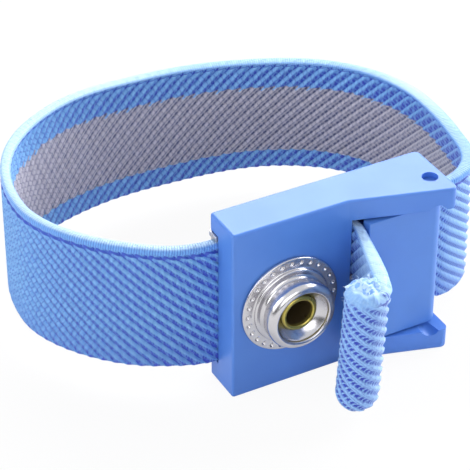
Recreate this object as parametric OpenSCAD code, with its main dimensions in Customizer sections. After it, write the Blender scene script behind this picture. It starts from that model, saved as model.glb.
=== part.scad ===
// Adjustable elastic wrist strap with a clamp buckle and a ring snap.
// Origin on the snap stud's axis, in the middle of its gripping land. +X runs along the buckle
// towards the clamp, +Y into the loop towards the wrist, +Z along the forearm. Every module is
// written in the buckle's own frame (X from the buckle's left end, Y back from its front face,
// Z from mid height) and moved by in_place().

/* [Band] */
// Width of the woven band
band_w = 20; // [15:0.5:24]
// Thickness of the woven band
band_t = 1.3; // [1:0.1:1.6]
// Extra thickness of the woven edges, on each face
edge_bead = 0.1; // [0.05:0.05:0.2]
// Height of the woven edges
edge_h = 1.2; // [0.8:0.1:2]
// Width of the conductive stripe
stripe_w = 12; // [6:0.2:13]
// Thickness of the conductive yarns in the inner face
stripe_t = 0.3; // [0.2:0.05:0.5]
// How far the stripe's middle lies below the band's middle
stripe_drop = 0.6; // [0:0.1:1.5]

/* [Loop] */
// How far the loop bulges past the buckle's left end
loop_left = 19.3; // [15:0.1:26]
// Distance of that bulge behind the front face
loop_left_y = 25; // [22:0.5:34]
// Distance of the loop's rearmost point behind the buckle's back
loop_depth = 41.2; // [36:0.1:55]
// Distance of the rearmost point from the buckle's left end
loop_back_x = 6.25; // [4:0.25:14]
// How far the loop bulges past the buckle's right end
loop_right = 12.1; // [9:0.1:20]
// Distance of that bulge behind the front face
loop_right_y = 22; // [17:0.5:26]
// Fullness of the bend that leaves the buckle's left end
ratio_out = 0.44; // [0.4:0.02:0.66]
// Fullness of the bend from the left bulge to the rearmost point
ratio_left = 0.6; // [0.5:0.02:0.7]
// Fullness of the bend from the rearmost point to the right bulge
ratio_right = 0.64; // [0.5:0.02:0.7]
// Fullness of the bend that comes back to the buckle's right end
ratio_in = 0.74; // [0.6:0.02:0.8]
// Steps of each quarter of the loop
loop_steps = 14; // [8:1:24]

/* [Buckle] */
// Length of the plain front face, from the left end to the bend
face_l = 17.55; // [17:0.25:24]
// Length of the cheeks past the bend
cheek_l = 14.8; // [14:0.2:20]
// How far the cheeks' front edge comes forward at their end
nose_drop = 4.4; // [3.8:0.1:5]
// Thickness of each cheek
cheek_t = 3.2; // [2.6:0.1:4]
// Clearance between the band's edge and a cheek
side_gap = 0.3; // [0.2:0.05:0.5]
// Thickness of the front wall
front_wall = 2; // [1.5:0.1:2.5]
// Thickness of the left end wall
end_wall = 1.8; // [1.2:0.1:2.4]
// Distance of the band's seat behind the front face
seat_depth = 4.25; // [4:0.05:4.6]
// Rounding of the outer edges
edge_r = 0.35; // [0.2:0.05:0.38]
// Rounding of the upright corners at the left end
corner_r = 0.4; // [0.4:0.05:1]
// Rounding of the upright corners at the cheeks' end
cheek_corner_r = 0.9; // [0.5:0.1:1.2]
// Thickness of the support ribs in the pocket
rib_t = 1.2; // [0.8:0.1:1.6]

/* [Lever] */
// Distance of the pivot from the cheeks' end
pivot_in = 2.12; // [2:0.04:2.6]
// Distance of the pivot in front of the front face's plane
pivot_front = 0.1; // [0:0.05:0.4]
// Radius of the trunnions
trunnion_r = 1.1; // [0.9:0.05:1.2]
// Running clearance of the trunnions in their bores
trunnion_fit = 0.05; // [0.02:0.01:0.1]
// How far the trunnions end inside the cheeks' outer faces
trunnion_sink = 0.8; // [0.4:0.1:1.2]
// Clearance between the lever and a cheek
lever_gap = 0.3; // [0.2:0.05:0.5]
// Distance of the lever's face in front of the front face's plane
panel_front = 1.8; // [1.6:0.05:2]
// Thickness of the lever's panel
panel_t = 1.5; // [1.2:0.1:1.8]
// Width of the slot that the band comes out of
slot_w = 1.7; // [1.6:0.05:2.2]
// Distance of the slot past the bend
slot_in = 0.5; // [0.3:0.1:1.5]
// Rounding radius of the cam nose
nose_r = 0.9; // [0.7:0.05:1]
// Gap between the cam nose and the band
nose_gap = 0.1; // [0.05:0.05:0.2]
// Distance of the cam nose towards the slot from the pivot
nose_x = 0.7; // [0.5:0.05:0.9]
// Number of grip notches across the cam nose
notch_count = 5; // [2:1:6]
// Depth of the grip notches
notch_d = 0.18; // [0.1:0.02:0.24]
// Radius of the snap-in ramps in the cheeks
ramp_r = 1.35; // [1.2:0.05:1.5]
// Depth of the ramps at the cheeks' front edges
ramp_depth = 0.9; // [0.5:0.1:1.1]

/* [Free end] */
// Radius of the bend that leads the band out through the slot
turn_r = 3.4; // [2.4:0.1:3.8]
// Radius of the bend in front of the slot
lean_r = 4; // [3:0.5:6]
// Angle at which the free end leans towards the snap
lean_a = 16.5; // [8:0.5:18]
// Straight length between that bend and the hem
tail_l = 11.5; // [9:0.5:16]
// Outer radius of the folded hem
hem_r = 3; // [2.4:0.1:3.2]
// Angle that the hem wraps
hem_wrap = 225; // [180:5:240]
// Height of the hem's top above mid height
hem_top = 8.4; // [7:0.1:9.5]
// Depth of the hem's bottom below mid height
hem_bottom = 11.4; // [9.5:0.1:12]
// How far the hem's foot leans out from its top
hem_shift = 0.7; // [0:0.1:1]
// Rounding of the hem's ends
hem_round = 1.6; // [1:0.1:2]

/* [Back plate] */
// Thickness of the steel
plate_t = 0.5; // [0.4:0.05:0.6]
// Half the height of the plate
plate_half = 10.85; // [10.8:0.05:11.4]
// Clearance round the plate
plate_gap = 0.1; // [0.05:0.01:0.15]
// Depth of the dish at the rivet
dish_depth = 0.4; // [0.3:0.05:0.5]
// Radius of the dish
dish_r = 4.4; // [4.2:0.1:5]
// Step of the plate's right end under its lips
joggle = 0.5; // [0.4:0.05:0.6]
// Length of the plate under the lips
lip_l = 2.8; // [2:0.1:3.5]
// How far the bent tab reaches forward
tab_l = 1.75; // [1.5:0.05:2.4]
// How far the tab stands out of the left end
tab_proud = 0.3; // [0.2:0.05:0.4]

/* [Snap] */
// Distance of the snap's axis from the left end
snap_x = 8.55; // [8:0.05:9]
// Radius of the stud's gripping land
stud_r = 5.1; // [4.9:0.05:5.2]
// Length of the land
land_h = 1; // [0.6:0.1:1.2]
// Height of the land's foot above the front face
land_z = 2.3; // [2.2:0.1:2.6]
// Height of the stud
stud_h = 4.3; // [4:0.1:4.6]
// Radius of the stud's neck
neck_r = 4.6; // [4.4:0.05:4.7]
// Radius of the flange
flange_r = 7.33; // [7:0.05:7.6]
// Thickness of the stud's sheet metal
stud_sheet = 0.4; // [0.3:0.05:0.5]
// Thickness of the flange
flange_t = 0.6; // [0.4:0.05:0.7]
// Radius of the raised collar inside the flange
collar_r = 5.7; // [5.5:0.05:5.9]
// Height of the collar
collar_h = 1.1; // [1:0.05:1.2]
// Radius of the stud's rim
rim_r = 4.05; // [3.9:0.05:4.3]
// Radius of the dished inside
dish_mouth_r = 3.7; // [3.5:0.05:3.8]
// Height of the dish's floor
floor_h = 1.5; // [1.4:0.1:1.8]
// Number of stamped dimples round the flange
dimple_count = 28; // [20:1:32]
// Radius of a dimple
dimple_r = 0.3; // [0.2:0.05:0.4]

/* [Eyelet] */
// Bore radius of the eyelet
eyelet_bore_r = 1.75; // [1.6:0.05:2.1]
// Wall of the eyelet
eyelet_wall = 0.35; // [0.3:0.05:0.45]
// Height of the rolled lip
lip_h = 2.45; // [2.2:0.05:2.6]
// How far the lip rolls out past the tube
lip_out = 0.23; // [0.2:0.01:0.4]
// Radius of the rear flange
rivet_flange_r = 3.75; // [3.4:0.05:3.9]
// Clearance of the eyelet in its holes
rivet_gap = 0.1; // [0.05:0.05:0.2]

/* [Hidden] */

// how far a cutting tool runs past a face
past = 1;
// facets of round pieces
fine = 64;
half_band = band_w / 2;
bead_half_t = band_t / 2 + edge_bead;
cheek_in = half_band + side_gap;
half_h = cheek_in + cheek_t;
body_l = face_l + cheek_l;
body_d = seat_depth + band_t + dish_depth + plate_t;
slope = nose_drop / cheek_l;
slope_a = atan(slope);
plate_front = body_d - plate_t;
plate_slack = plate_gap / 2;
clamp_y = plate_front - joggle - plate_slack - bead_half_t;
fixed_y = seat_depth + band_t / 2;
slot_x = face_l + slot_in;
pivot = [body_l - pivot_in, -pivot_front];
tip_r = pivot[0] - slot_x - slot_w;
lever_half = cheek_in - lever_gap;
trunnion_end = half_h - trunnion_sink;
// the lever's face runs on as the front of its barrel round the pivot
barrel_r = panel_front - pivot_front;
// from the pivot back to the cam nose
nose_reach = clamp_y - bead_half_t - nose_gap - pivot[1];
tube_r = eyelet_bore_r + eyelet_wall;
hole_r = tube_r + rivet_gap;
boss_r = dish_r + rib_t;
fixed_l = snap_x + dish_r;
grip_h = land_z + land_h / 2;

// Points on an oval round c, with half axes s, from angle a to angle b.
function oval(c, s, a, b, n) = [for (i = [0:n])
    let (t = a + (b - a) * i / n) c + [s[0] * cos(t), s[1] * sin(t)]];

// Points on an arc round c.
function arc(c, r, a, b, n) = oval(c, [r, r], a, b, n);

// Cubic curve from p to q that leaves along u and arrives along v; k is its fullness.
function quarter(p, u, q, v, k) = let (a = p + k * abs((q - p) * u) * u, b = q - k * abs((q - p) * v) * v)
    [for (i = [0:loop_steps]) let (t = i / loop_steps, s = 1 - t)
        s^3 * p + 3 * s^2 * t * a + 3 * s * t^2 * b + t^3 * q];

// A list without its first item, to chain curves that share a point.
function rest(l) = [for (i = [1:len(l) - 1]) l[i]];

function reversed(l) = [for (i = [len(l) - 1:-1:0]) l[i]];

// The band's mid-line seen from above, from the fixed end to the hem. Its inner face is on the right.
loop_p = let (left = [-loop_left, loop_left_y], back = [loop_back_x, body_d + loop_depth],
    right = [body_l + loop_right, loop_right_y])
    concat(quarter([0, fixed_y], [-1, 0], left, [0, 1], ratio_out),
        rest(quarter(left, [0, 1], back, [1, 0], ratio_left)),
        rest(quarter(back, [1, 0], right, [0, -1], ratio_right)),
        rest(quarter(right, [0, -1], [body_l, clamp_y], [-1, 0], ratio_in)));
turn_c = [slot_x + side_gap / 3 + bead_half_t + turn_r, clamp_y - turn_r];
lean_c = [turn_c[0] - turn_r - lean_r, 0];
clamp_p = concat(arc(turn_c, turn_r, 90, 180, 12), [lean_c + [lean_r, 0]]);
tail_dir = [-sin(lean_a), -cos(lean_a)];
tail_end = lean_c + lean_r * [cos(lean_a), -sin(lean_a)] + tail_l * tail_dir;
band_p = concat([[fixed_l, fixed_y]], loop_p, clamp_p, rest(arc(lean_c, lean_r, 0, -lean_a, 4)), [tail_end]);
hem_c = tail_end + (hem_r - bead_half_t) * [-cos(lean_a), sin(lean_a)];

// places in band_p where its stretches meet
at_left = 1;
at_right = len(loop_p);
at_slot = at_right + len(clamp_p);
at_hem = len(band_p) - 1;

// Points of the mid-line from place i to place j, moved by d to the left of its direction.
function beside(i, j, d) = [for (k = [i:j])
    let (h = band_p[min(k + 1, at_hem)] - band_p[max(k - 1, 0)]) band_p[k] + d * [-h[1], h[0]] / norm(h)];

// Plan outline of the buckle, drawn in by d all round, counter-clockwise from the bend in its front.
function buckle_outline(d) = let (r = corner_r - d, q = cheek_corner_r - d, in = cheek_corner_r,
    tip_y = in / cos(slope_a) - slope * (cheek_l - in))
    concat([[face_l + d * (1 / cos(slope_a) - 1) / slope, d]],
        arc([body_l - in, tip_y], q, 270 - slope_a, 360, 5),
        arc([body_l - in, body_d - in], q, 0, 90, 4),
        arc([corner_r, body_d - corner_r], r, 90, 180, 3),
        arc([corner_r, corner_r], r, 180, 270, 3));

// Levels of a rounded end of radius r: [inset, distance from the end], from the end inwards.
function round_levels(r, n) = [for (i = [0:n]) let (a = 90 * i / n) r * [1 - sin(a), 1 - cos(a)]];

// From the buckle's frame to the part's, whose origin lies on the snap's axis.
module in_place() {
    translate([-snap_x, grip_h, 0]) children();
}

// A profile of radius and height turned about the snap's axis, with height towards the front.
module about_snap() {
    translate([snap_x, 0, 0]) rotate([90, 0, 0]) rotate_extrude($fn = fine) children();
}

// Cylinder on the snap's axis from y = a to y = b.
module snap_rod(r, a, b) {
    translate([snap_x, b, 0]) rotate([90, 0, 0]) cylinder(r = r, h = b - a, $fn = fine);
}

// Box from its lowest to its highest corner.
module box(a, b) {
    translate(a) cube(b - a);
}

// Solid between rings of equally many [x, y, z] points, from the lowest ring to the highest. The straight
// line from a ring's first point to any of its others stays inside the ring.
module loft(rings) {
    n = len(rings[0]);
    top = (len(rings) - 1) * n;
    wall = [for (k = [0:len(rings) - 2], i = [0:n - 1]) let (j = (i + 1) % n, a = k * n, b = a + n)
        each [[a + i, b + i, b + j], [a + i, b + j, a + j]]];
    caps = [for (i = [1:n - 2]) each [[0, i, i + 1], [top, top + i + 1, top + i]]];
    polyhedron([for (r = rings) each r], concat(caps, wall));
}

// The buckle's block, with its outer edges rounded.
module buckle_block() {
    function ring(d, z) = [for (p = buckle_outline(d)) [p[0], p[1], z]];
    ends = round_levels(edge_r, 4);
    loft(concat([for (e = ends) ring(e[0], e[1] - half_h)],
        [for (e = reversed(ends)) ring(e[0], half_h - e[1])]));
}

// Cutter of a snap-in ramp: a round channel in from the cheek's front edge that runs out at the pivot.
module ramp(side) {
    run = nose_drop + pivot[1];
    translate([pivot[0] - ramp_r / 2, pivot[1], side * (cheek_in - ramp_r)])
        rotate([90 - side * atan(ramp_depth / run), 0, 0])
            cylinder(r = ramp_r, h = run + 2 * past, $fn = fine);
}

module housing() {
    pocket_end = slot_x - end_wall;
    lip_x = body_l - lip_l;
    rebate_half = plate_half + plate_gap;
    rebate_y = plate_front - plate_slack;
    seat_y = seat_depth - edge_bead;
    color("cornflowerblue") in_place() difference() {
        buckle_block();
        // pocket under the band's fixed end, with a boss round the rivet and two ribs
        difference() {
            box([end_wall, front_wall, -cheek_in], [pocket_end, body_d + past, cheek_in]);
            snap_rod(boss_r, 0, seat_depth);
            for (side = [-1, 1]) translate([0, 0, side * (boss_r + rib_t)])
                box([0, 0, -rib_t / 2], [pocket_end + past, seat_y, rib_t / 2]);
        }
        // way in over the left end wall
        box([-past, seat_y, -cheek_in], [end_wall + past, body_d + past, cheek_in]);
        // slot between the cheeks
        box([slot_x, -nose_drop - past, -cheek_in], [body_l + past, body_d + past, cheek_in]);
        // seat of the back plate, with a lip over each corner of its right end
        box([-past, rebate_y, -rebate_half], [lip_x, body_d + past, rebate_half]);
        box([lip_x - 2 * joggle, rebate_y - joggle, -rebate_half],
            [body_l - end_wall / 2, plate_front + plate_slack, rebate_half]);
        // relief for the plate's bend and its tab
        box([-past, plate_front - tab_l - plate_gap, 0],
            [plate_t - tab_proud + plate_slack, body_d + past, rebate_half]);
        snap_rod(hole_r, -past, body_d);
        translate([pivot[0], pivot[1], -half_h - past])
            cylinder(r = trunnion_r + trunnion_fit, h = 2 * (half_h + past), $fn = fine);
        for (side = [-1, 1]) ramp(side);
    }
}

// Section of the lever round its pivot: the panel, the barrel and the cam nose behind it, with grip
// notches across the nose. The panel's end is an arc round the pivot, so that it swings clear.
module lever_profile() {
    back_y = panel_t - barrel_r;
    root_y = back_y - panel_t / 2;
    nose_c = [-nose_x, nose_reach - nose_r];
    difference() {
        union() {
            circle(r = barrel_r, $fn = fine);
            polygon(concat(arc([0, 0], tip_r, 180 - asin(back_y / tip_r), 180 + asin(barrel_r / tip_r), 4),
                [[0, -barrel_r], [0, back_y]]));
            polygon(concat(arc(nose_c, nose_r, 30, 170, 10), [[-barrel_r, root_y], [0, root_y]],
                arc([0, 0], barrel_r, -60, 20, 4)));
        }
        for (i = [1:notch_count]) translate(nose_c) rotate(90 + 90 * i / notch_count)
            translate([nose_r, 0]) circle(r = notch_d, $fn = 4);
    }
}

module cam_lever() {
    color("royalblue") in_place() translate([pivot[0], pivot[1], 0]) {
        translate([0, 0, -lever_half]) linear_extrude(2 * lever_half) lever_profile();
        translate([0, 0, -trunnion_end]) cylinder(r = trunnion_r, h = 2 * trunnion_end, $fn = fine);
    }
}

module back_plate() {
    step_x = body_l - lip_l - 2 * joggle + plate_gap;
    end_x = body_l - end_wall / 2 - plate_gap;
    tab_in = half_band + side_gap / 2;
    tab_x = plate_t - tab_proud;
    low = plate_front - joggle;
    color("silver") in_place() difference() {
        union() {
            // sheet, stepped forward towards its right end
            difference() {
                translate([0, 0, -plate_half]) linear_extrude(2 * plate_half) polygon([
                    [tab_x, plate_front], [step_x, plate_front], [step_x + joggle, low], [end_x, low],
                    [end_x, low + plate_t], [step_x + joggle, low + plate_t], [step_x, body_d],
                    [tab_x, body_d]]);
                snap_rod(dish_r, 0, body_d + past);
            }
            // tab bent over the left end, above the band
            translate([0, 0, tab_in]) linear_extrude(plate_half - tab_in)
                polygon(concat([[tab_x, plate_front - tab_l], [tab_x, plate_front], [plate_t, plate_front],
                    [plate_t, body_d]], arc([tab_x, plate_front], plate_t, 90, 180, 5),
                    [[-tab_proud, plate_front - tab_l]]));
            // dish that takes the rivet's flange
            about_snap() translate([0, -body_d]) polygon([
                [hole_r, dish_depth], [dish_r - dish_depth, dish_depth], [dish_r, 0], [dish_r + plate_t, 0],
                [dish_r + plate_t, plate_t], [dish_r, plate_t], [dish_r - dish_depth, plate_t + dish_depth],
                [hole_r, plate_t + dish_depth]]);
        }
        snap_rod(hole_r, 0, body_d + past);
    }
}

module snap_stud() {
    under = floor_h - stud_sheet;
    soft = flange_t / 4;
    dish_c = [hole_r, floor_h + (stud_h - floor_h) / 2];
    color("lightgray") in_place() difference() {
        about_snap() polygon(concat(
            // flange
            [[flange_r, 0]], arc([flange_r - soft, flange_t - soft], soft, 0, 90, 3),
            // collar and neck
            arc([collar_r + soft, flange_t + soft], soft, 270, 180, 2),
            arc([collar_r - soft, collar_h - soft], soft, 0, 90, 3),
            oval([(collar_r + neck_r) / 2, (collar_h + land_z) / 2],
                [(collar_r - neck_r) / 2, (land_z - collar_h) / 2], 270, 180, 4),
            oval([neck_r, land_z], [stud_r - neck_r, (land_z - collar_h) / 3], 270, 360, 4),
            // land, rounded rim and dished inside
            oval([rim_r, land_z + land_h], [stud_r - rim_r, stud_h - land_z - land_h], 0, 90, 6),
            oval([rim_r, stud_h - soft * 2], [rim_r - dish_mouth_r, soft * 2], 90, 180, 4),
            oval(dish_c, [dish_mouth_r - hole_r, dish_c[1] - floor_h], 0, -90, 6),
            // hollow underside
            [[hole_r, under], [neck_r - stud_sheet, under], [collar_r - stud_sheet, collar_h - stud_sheet],
                [collar_r - stud_sheet, 0]]));
        // ring of stamped dimples
        for (i = [0:dimple_count - 1])
            translate([snap_x, -flange_t, 0]) rotate([0, 360 * i / dimple_count, 0])
                translate([(flange_r + collar_r) / 2 + soft / 2, 0, 0]) sphere(r = dimple_r, $fn = 16);
    }
}

module eyelet() {
    flare = eyelet_wall;
    lip_r = (lip_h - floor_h) / 2;
    color("goldenrod") in_place() about_snap() polygon(concat(
        arc([eyelet_bore_r + flare, flare - body_d], flare, 180, 270, 4),
        [[rivet_flange_r - flare / 4, -body_d], [rivet_flange_r, flare / 4 - body_d],
            [rivet_flange_r, dish_depth - body_d], [tube_r, dish_depth - body_d], [tube_r, floor_h]],
        oval([tube_r, floor_h + lip_r], [lip_out, lip_r], -90, 90, 8),
        oval([tube_r, lip_h - lip_r], [eyelet_wall, lip_r], 90, 180, 4)));
}

// Outline of the band between places i and j of its mid-line and between offsets a and b.
module stretch(i, j, a, b) {
    polygon(concat(beside(i, j, b), reversed(beside(i, j, a))));
}

// Flat weave from place i to place j, with a thicker woven edge above and below and room for the stripe.
module weave(i, j) {
    half_t = band_t / 2;
    difference() {
        union() {
            translate([0, 0, edge_h - half_band]) linear_extrude(band_w - 2 * edge_h)
                stretch(i, j, -half_t, half_t);
            for (z = [-half_band, half_band - edge_h])
                translate([0, 0, z]) linear_extrude(edge_h) stretch(i, j, -bead_half_t, bead_half_t);
        }
        stripe(i, j, past / 4);
    }
}

// The conductive yarns of a stretch, standing out of the inner face by out.
module stripe(i, j, out) {
    translate([0, 0, -stripe_drop - stripe_w / 2]) linear_extrude(stripe_w)
        stretch(i, j, -band_t / 2 - out, stripe_t - band_t / 2);
}

module band_fixed_end() {
    color("dodgerblue") in_place() difference() {
        weave(0, at_left);
        snap_rod(hole_r, 0, body_d);
    }
}

module band_loop() {
    color("dodgerblue") in_place() weave(at_left, at_right);
}

module band_clamped_run() {
    color("dodgerblue") in_place() weave(at_right, at_slot);
}

module band_free_end() {
    color("dodgerblue") in_place() weave(at_slot, at_hem);
}

// The folded end of the band: a fold that starts where the free end stops, with rounded ends. Its
// levels move out along the free end's end face from the top to the foot.
module band_hem() {
    out_dir = [-cos(lean_a), sin(lean_a)];
    function ring(d, z) = let (out = hem_shift * (hem_top - z) / (hem_top + hem_bottom) * out_dir)
        [for (p = concat([hem_c], arc(hem_c, hem_r - d, -lean_a - hem_wrap, -lean_a, 20)))
            [p[0] + out[0], p[1] + out[1], z]];
    ends = round_levels(hem_round, 4);
    color("deepskyblue") in_place() loft(concat([for (e = ends) ring(e[0], e[1] - hem_bottom)],
        [for (e = reversed(ends)) ring(e[0], hem_top - e[1])]));
}

module conductive_stripe() {
    color("darkgray") in_place() difference() {
        stripe(0, at_hem, 0);
        snap_rod(hole_r, 0, body_d);
    }
}

housing();
cam_lever();
back_plate();
snap_stud();
eyelet();
band_fixed_end();
band_loop();
band_clamped_run();
band_free_end();
band_hem();
conductive_stripe();
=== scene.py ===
"""Looks of the woven elastic wrist strap with its clamp buckle and ring snap.

Lengths are in millimetres here and become metres where a mesh is made. The band is laid along one line
seen from above: s is the distance along it from the buckle's left end, z the height, and t counts the
woven ribs. off is how far a point stands out from the band's middle to its outer side.
"""

import math

import bmesh
import bpy
import numpy as np
from mathutils import Matrix, Vector


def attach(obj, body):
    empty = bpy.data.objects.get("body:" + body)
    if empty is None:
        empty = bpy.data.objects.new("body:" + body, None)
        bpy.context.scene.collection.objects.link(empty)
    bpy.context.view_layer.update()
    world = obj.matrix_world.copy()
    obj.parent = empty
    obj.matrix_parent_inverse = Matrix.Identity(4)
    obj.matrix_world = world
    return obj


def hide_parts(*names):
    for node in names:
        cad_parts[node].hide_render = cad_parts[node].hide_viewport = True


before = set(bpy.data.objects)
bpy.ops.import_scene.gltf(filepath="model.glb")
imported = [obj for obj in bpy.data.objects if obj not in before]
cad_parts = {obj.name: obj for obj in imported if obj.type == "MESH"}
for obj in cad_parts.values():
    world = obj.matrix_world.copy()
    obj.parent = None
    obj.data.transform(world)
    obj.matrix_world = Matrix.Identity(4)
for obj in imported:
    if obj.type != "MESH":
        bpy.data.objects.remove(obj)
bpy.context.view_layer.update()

MM = 0.001
# from the buckle's left end and front face to the origin
SHIFT = np.array([-8.55, 2.8])


# ---------------------------------------------------------------- meshes


def put_mesh(name, points, faces, maps=None):
    """Smooth object from points in millimetres and triangles or quads; maps are named pairs of values
    per point."""
    mesh = bpy.data.meshes.new(name)
    faces = np.asarray(faces)
    count, sides = faces.shape
    mesh.vertices.add(len(points))
    mesh.vertices.foreach_set("co", (np.asarray(points) * MM).astype(np.float32).ravel())
    mesh.loops.add(count * sides)
    mesh.loops.foreach_set("vertex_index", faces.astype(np.int32).ravel())
    mesh.polygons.add(count)
    mesh.polygons.foreach_set("loop_start", np.arange(0, count * sides, sides, dtype=np.int32))
    mesh.polygons.foreach_set("use_smooth", np.ones(count, bool))
    mesh.update(calc_edges=True)
    for title, values in (maps or {}).items():
        layer = mesh.uv_layers.new(name=title)
        layer.uv.foreach_set("vector", np.asarray(values, np.float32)[faces.ravel()].ravel())
    mesh.validate()
    obj = bpy.data.objects.new(name, mesh)
    bpy.context.scene.collection.objects.link(obj)
    return obj


def ring_quads(rings, count):
    """Quads between closed rings of count points each, from one ring to the next."""
    i, j = np.meshgrid(np.arange(rings - 1), np.arange(count), indexing="ij")
    j2 = (j + 1) % count
    low, high = i * count, (i + 1) * count
    return np.stack([low + j, low + j2, high + j2, high + j], 2).reshape(-1, 4)


def revolve(profile, count, relief=None):
    """Points and quads of a closed profile of (radius, height) turned about the snap's axis; height is to
    the front. relief, if given, takes radius, height and angle and returns a new height."""
    profile = np.asarray(profile, float)
    angle = np.arange(count) * 2 * np.pi / count
    r, a = np.meshgrid(profile[:, 0], angle)
    h = np.tile(profile[:, 1], (count, 1))
    if relief is not None:
        h = relief(r, h, a)
    points = np.stack([r * np.cos(a), SHIFT[1] - h, r * np.sin(a)], 2).reshape(-1, 3)
    n = len(profile)
    i, j = np.meshgrid(np.arange(count), np.arange(n), indexing="ij")
    i2, j2 = (i + 1) % count, (j + 1) % n
    i, i2 = i * n, i2 * n
    quads = np.stack([i + j, i + j2, i2 + j2, i2 + j], 2).reshape(-1, 4)
    return points, quads


def oval(centre, half, a, b, n):
    """Points on an oval arc from angle a to angle b, in degrees."""
    t = np.radians(np.linspace(a, b, n + 1))[:, None]
    return np.array(centre) + np.hstack([half[0] * np.cos(t), half[1] * np.sin(t)])


# in degrees: faces that meet at less are one flat region, and edges that turn by more are sharp
FLAT, SHARP = 0.6, 32
# corners closer together than this, in metres, are merged
SAME_CORNER = 2e-6


def softened(node, name, width=0, segments=2):
    """A copy of a CAD piece with merged corners and smooth roundings. With a width, its flat regions are
    joined and its sharp edges rounded."""
    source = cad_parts[node]
    bm = bmesh.new()
    bm.from_mesh(source.data)
    bmesh.ops.remove_doubles(bm, verts=bm.verts, dist=SAME_CORNER)
    if width:
        bmesh.ops.dissolve_limit(bm, angle_limit=math.radians(FLAT), verts=bm.verts, edges=bm.edges)
    sharp = math.radians(SHARP)
    for edge in bm.edges:
        edge.smooth = len(edge.link_faces) == 2 and edge.calc_face_angle() < sharp
    mesh = bpy.data.meshes.new(name)
    bm.to_mesh(mesh)
    bm.free()
    mesh.polygons.foreach_set("use_smooth", np.ones(len(mesh.polygons), bool))
    obj = bpy.data.objects.new(name, mesh)
    bpy.context.scene.collection.objects.link(obj)
    if width:
        bevel = obj.modifiers.new("soft edges", "BEVEL")
        bevel.width = width * MM
        bevel.segments = segments
        bevel.limit_method = "ANGLE"
        bevel.angle_limit = sharp
        bevel.use_clamp_overlap = True
    even = obj.modifiers.new("flat faces", "WEIGHTED_NORMAL")
    even.keep_sharp = True
    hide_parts(node)
    return obj


# ---------------------------------------------------------------- the band's line

CURVE_POINTS = 500


def cubic(p, u, q, v, k):
    """Points on a cubic from p to q that leaves along u and arrives along v; k is its fullness."""
    p, u, q, v = (np.array(x, float) for x in (p, u, q, v))
    a = p + k * abs((q - p) @ u) * u
    b = q - k * abs((q - p) @ v) * v
    t = np.linspace(0, 1, CURVE_POINTS)[:, None]
    return (1 - t) ** 3 * p + 3 * (1 - t) ** 2 * t * a + 3 * (1 - t) * t ** 2 * b + t ** 3 * q


# where the band leaves the buckle at its left and enters it at its right, and the length of its fixed end
IN_LEFT, IN_RIGHT = (0, 4.9), (32.35, 4.65)
FIXED_L = 12.95
# the loop's outermost places at the left, the rear and the right
LEFT, REAR, RIGHT = (-19.3, 25), (6.25, 47.65), (44.45, 22)
# radii of the turn in the clamp and the bend in the slot, the free end's length, and the hem's radius
TURN_R, BEND_R, TAIL_L, FOLD_R = 3.4, 4.0, 11.5, 2.25
# in degrees: how far the free end leans, and how far round the hem is folded
LEAN, WRAP = 16.5, 192
# middles of the turn and the bend
TURN, BEND = np.array([22.3, 1.25]), np.array([14.9, 0.0])
# directions across the free end and along it
across = np.array([math.cos(math.radians(LEAN)), -math.sin(math.radians(LEAN))])
onward = np.array([across[1], -across[0]])
tail_start = BEND + BEND_R * across
tail_end = tail_start + TAIL_L * onward
HEM = tail_end - FOLD_R * across
stretches = [
    np.linspace([FIXED_L, IN_LEFT[1]], IN_LEFT, 60),
    cubic(IN_LEFT, [-1, 0], LEFT, [0, 1], 0.44),
    cubic(LEFT, [0, 1], REAR, [1, 0], 0.6),
    cubic(REAR, [1, 0], RIGHT, [0, -1], 0.64),
    cubic(RIGHT, [0, -1], IN_RIGHT, [-1, 0], 0.74),
    np.linspace(IN_RIGHT, [TURN[0], IN_RIGHT[1]], 60),
    oval(TURN, (TURN_R, TURN_R), 90, 180, 60),
    np.linspace(TURN - [TURN_R, 0], BEND + [BEND_R, 0], 12),
    oval(BEND, (BEND_R, BEND_R), 0, -LEAN, 20),
    np.linspace(tail_start, tail_end, 60),
    oval(HEM, (FOLD_R, FOLD_R), -LEAN, -LEAN - WRAP, 120)]


def steps(points):
    """Distances from each point to the next."""
    return np.linalg.norm(np.diff(points, axis=0), axis=1)


places = np.cumsum([steps(p).sum() for p in stretches]) - FIXED_L
at_clamp, at_slot, at_hem, at_end = places[4], places[7], places[9], places[10]
line = np.vstack(stretches) + SHIFT
line = line[np.insert(steps(line) > 1e-6, 0, True)]
run = np.insert(np.cumsum(steps(line)), 0, 0) - FIXED_L
heading = np.gradient(line, run, axis=0)
heading /= np.linalg.norm(heading, axis=1)[:, None]
HEM = HEM + SHIFT


def on_line(s, off, z):
    """Place of a point at distance s along the band, off to its outer side and at height z."""
    x, y = (np.interp(s, run, line[:, k]) for k in (0, 1))
    hx, hy = (np.interp(s, run, heading[:, k]) for k in (0, 1))
    size = np.hypot(hx, hy)
    return np.stack([x - off * hy / size, y + off * hx / size, z], -1)


def smooth_step(a, b, x):
    """0 at a and before it, 1 at b and past it, and a smooth rise between."""
    t = np.clip((x - a) / (b - a), 0, 1)
    return t * t * (3 - 2 * t)


def hump(x, middle, width):
    """1 in the middle and falling away like a bell within the width."""
    return np.exp(-((x - middle) / width) ** 2)


def lumps(p, size):
    """Uneven heap: three sines, each bent by another across it, from -1 to 1."""
    a, b, c = (p / size).T
    return (np.sin(1.7 * a + 1.3 * np.sin(1.1 * b)) + np.sin(1.9 * b + 1.7 * np.sin(1.3 * c) + 2)
            + np.sin(1.6 * c + 1.5 * np.sin(1.2 * a) + 4)) / 3


# ---------------------------------------------------------------- weave

# spacing of the ribs along the band, and where in its count a rib starts
PITCH, RIB_START = 1.80, 0.08
# how far a rib runs on along the band for each millimetre up, on the outer and the inner face
SKEW_OUT, SKEW_IN = 1.11, 0.98
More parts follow.
